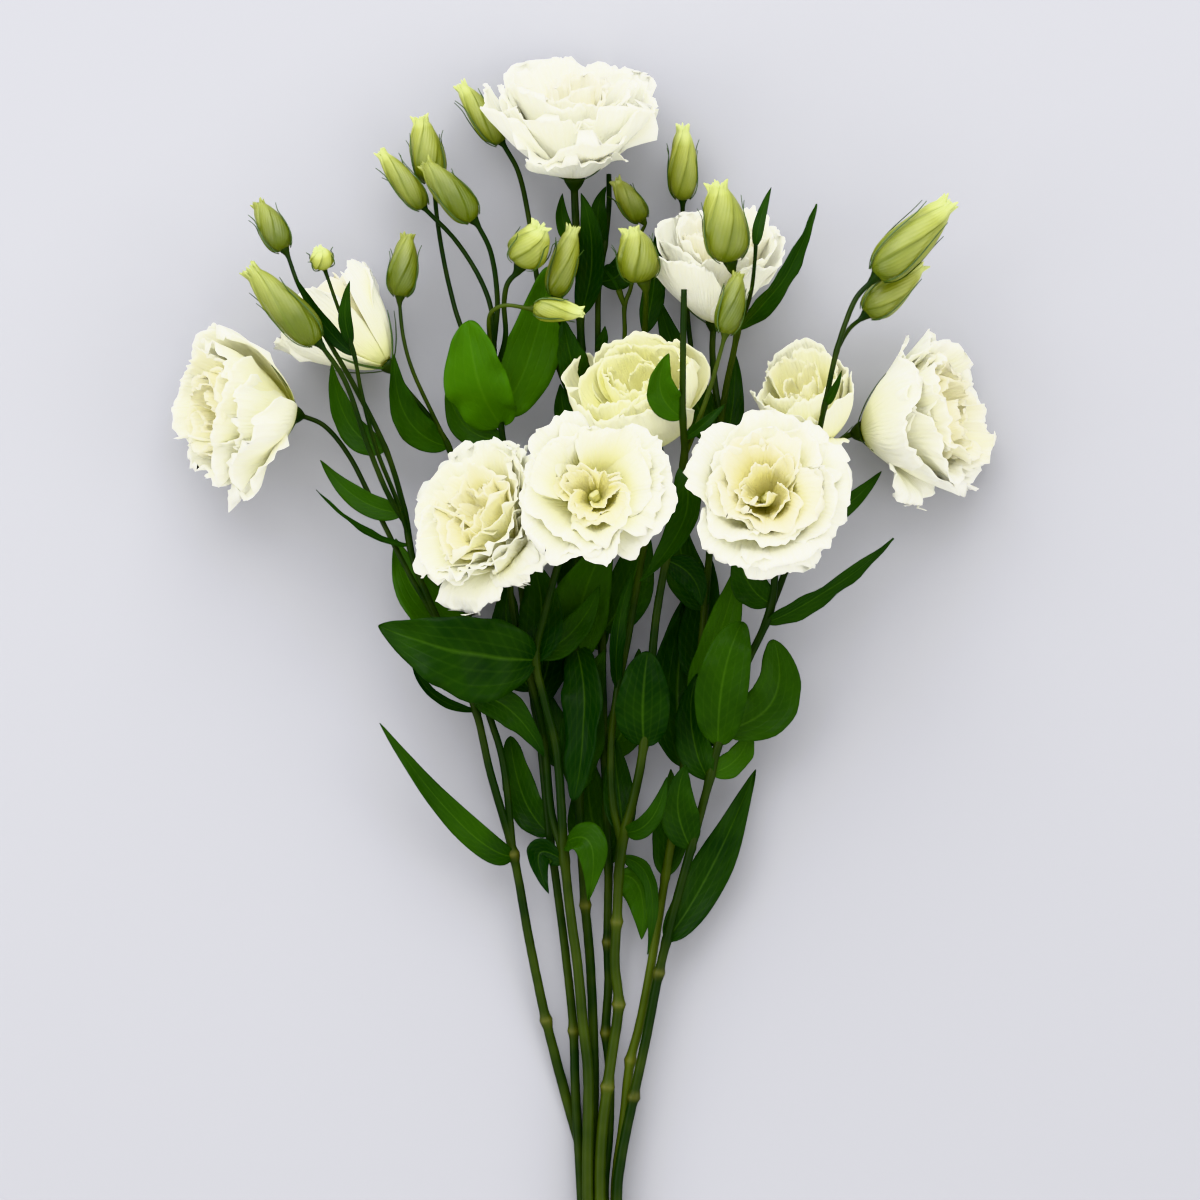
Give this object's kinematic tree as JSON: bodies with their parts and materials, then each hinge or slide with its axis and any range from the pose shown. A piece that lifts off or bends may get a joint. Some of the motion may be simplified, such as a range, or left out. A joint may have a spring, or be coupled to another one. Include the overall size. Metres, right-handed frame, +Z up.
{
  "type": "lisianthus bunch",
  "caption": "Bunch of cut leafy lisianthus stems lying flat, with white double blooms, furled green-cream buds and waved leaves.",
  "frame": {"origin": "on the surface the bunch lies on, under the middle of its outer box", "axes": "+Z up from the surface, +Y from the cut ends towards the top bloom, +X to the right when looked down on"},
  "size_m": [0.4127, 0.6447, 0.13],
  "materials": {
    "green": "waxy green stem and leaf, soft satin sheen",
    "petal": "matt white petal, creamy yellow-green towards the middle",
    "bud": "matt yellow-green furled petals, paler at the open tip"
  },
  "bodies": {
    "root": {"stem_1": "green", "stem_2": "green", "stem_3": "green", "stem_4": "green", "stem_5": "green", "stem_6": "green", "stem_7": "green", "stem_8": "green", "bloom_1": "petal", "bloom_2": "petal", "bloom_3": "petal", "bloom_4": "petal", "bloom_5": "petal", "bloom_6": "petal", "bloom_7": "petal", "bloom_8": "petal", "bloom_9": "petal", "bloom_10": "petal", "bud_1": "bud", "bud_2": "bud", "bud_3": "bud", "bud_4": "bud", "bud_5": "bud", "bud_6": "bud", "bud_7": "bud", "bud_8": "bud", "bud_9": "bud", "bud_10": "bud", "bud_11": "bud", "bud_12": "bud", "bud_13": "bud", "bud_14": "bud", "bud_15": "bud", "bud_16": "bud", "bud_17": "bud", "bud_18": "bud"}
  },
  "joints": []
}
